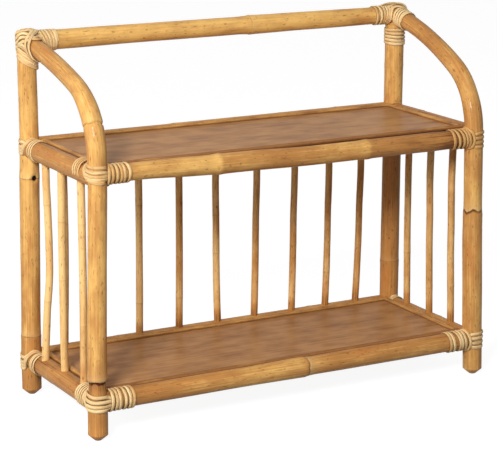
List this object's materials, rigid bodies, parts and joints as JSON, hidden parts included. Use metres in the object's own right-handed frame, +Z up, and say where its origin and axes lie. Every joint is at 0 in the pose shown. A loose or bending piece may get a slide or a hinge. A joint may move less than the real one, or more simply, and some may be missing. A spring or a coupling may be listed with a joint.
{
  "type": "magazine rack",
  "caption": "Free-standing rattan magazine rack with an open-fronted lower shelf, spindle back and sides, an upper shelf, a back rail and bent arms, bound with cane at its joints.",
  "frame": {"origin": "on the floor, midway between the four posts", "axes": "+X to the rack's right seen from the front, +Y to the back, +Z up"},
  "size_m": [0.5726, 0.229, 0.4689],
  "materials": {
    "rattan_pole": "clear gloss lacquer on honey-coloured rattan",
    "rattan_spindle": "satin lacquer on peeled rattan",
    "split_cane": "satin lacquer",
    "shelf_board": "satin brown veneer",
    "cane_binding": "pale peeled cane, satin",
    "steel": "bright steel"
  },
  "bodies": {
    "root": {"rear_post_left": "rattan_pole", "rear_post_right": "rattan_pole", "front_post_left": "rattan_pole", "front_post_right": "rattan_pole", "top_rail": "rattan_pole", "lower_front_rail": "rattan_pole", "lower_rear_rail": "rattan_pole", "lower_side_rail_left": "rattan_pole", "lower_side_rail_right": "rattan_pole", "lower_bearer_left": "rattan_pole", "lower_bearer_right": "rattan_pole", "lower_shelf_panel": "shelf_board", "lower_bead_front": "split_cane", "lower_bead_rear": "split_cane", "lower_bead_left": "split_cane", "lower_bead_right": "split_cane", "upper_front_rail": "rattan_pole", "upper_rear_rail": "rattan_pole", "upper_side_rail_left": "rattan_pole", "upper_side_rail_right": "rattan_pole", "upper_bearer_left": "rattan_pole", "upper_bearer_right": "rattan_pole", "upper_shelf_panel": "shelf_board", "upper_bead_front": "split_cane", "upper_bead_rear": "split_cane", "upper_bead_left": "split_cane", "upper_bead_right": "split_cane", "rear_spindle_1": "rattan_spindle", "rear_spindle_2": "rattan_spindle", "rear_spindle_3": "rattan_spindle", "rear_spindle_4": "rattan_spindle", "rear_spindle_5": "rattan_spindle", "rear_spindle_6": "rattan_spindle", "rear_spindle_7": "rattan_spindle", "rear_spindle_8": "rattan_spindle", "rear_spindle_9": "rattan_spindle", "left_spindle_1": "rattan_spindle", "left_spindle_2": "rattan_spindle", "left_spindle_3": "rattan_spindle", "binding_top_left": "cane_binding", "binding_lower_front_left": "cane_binding", "binding_lower_rear_left": "cane_binding", "binding_upper_front_left": "cane_binding", "binding_upper_rear_left": "cane_binding", "right_spindle_1": "rattan_spindle", "right_spindle_2": "rattan_spindle", "right_spindle_3": "rattan_spindle", "binding_top_right": "cane_binding", "binding_lower_front_right": "cane_binding", "binding_lower_rear_right": "cane_binding", "binding_upper_front_right": "cane_binding", "binding_upper_rear_right": "cane_binding", "frame_screws": "steel", "panel_pins": "steel", "bead_pins": "steel"}
  },
  "joints": []
}
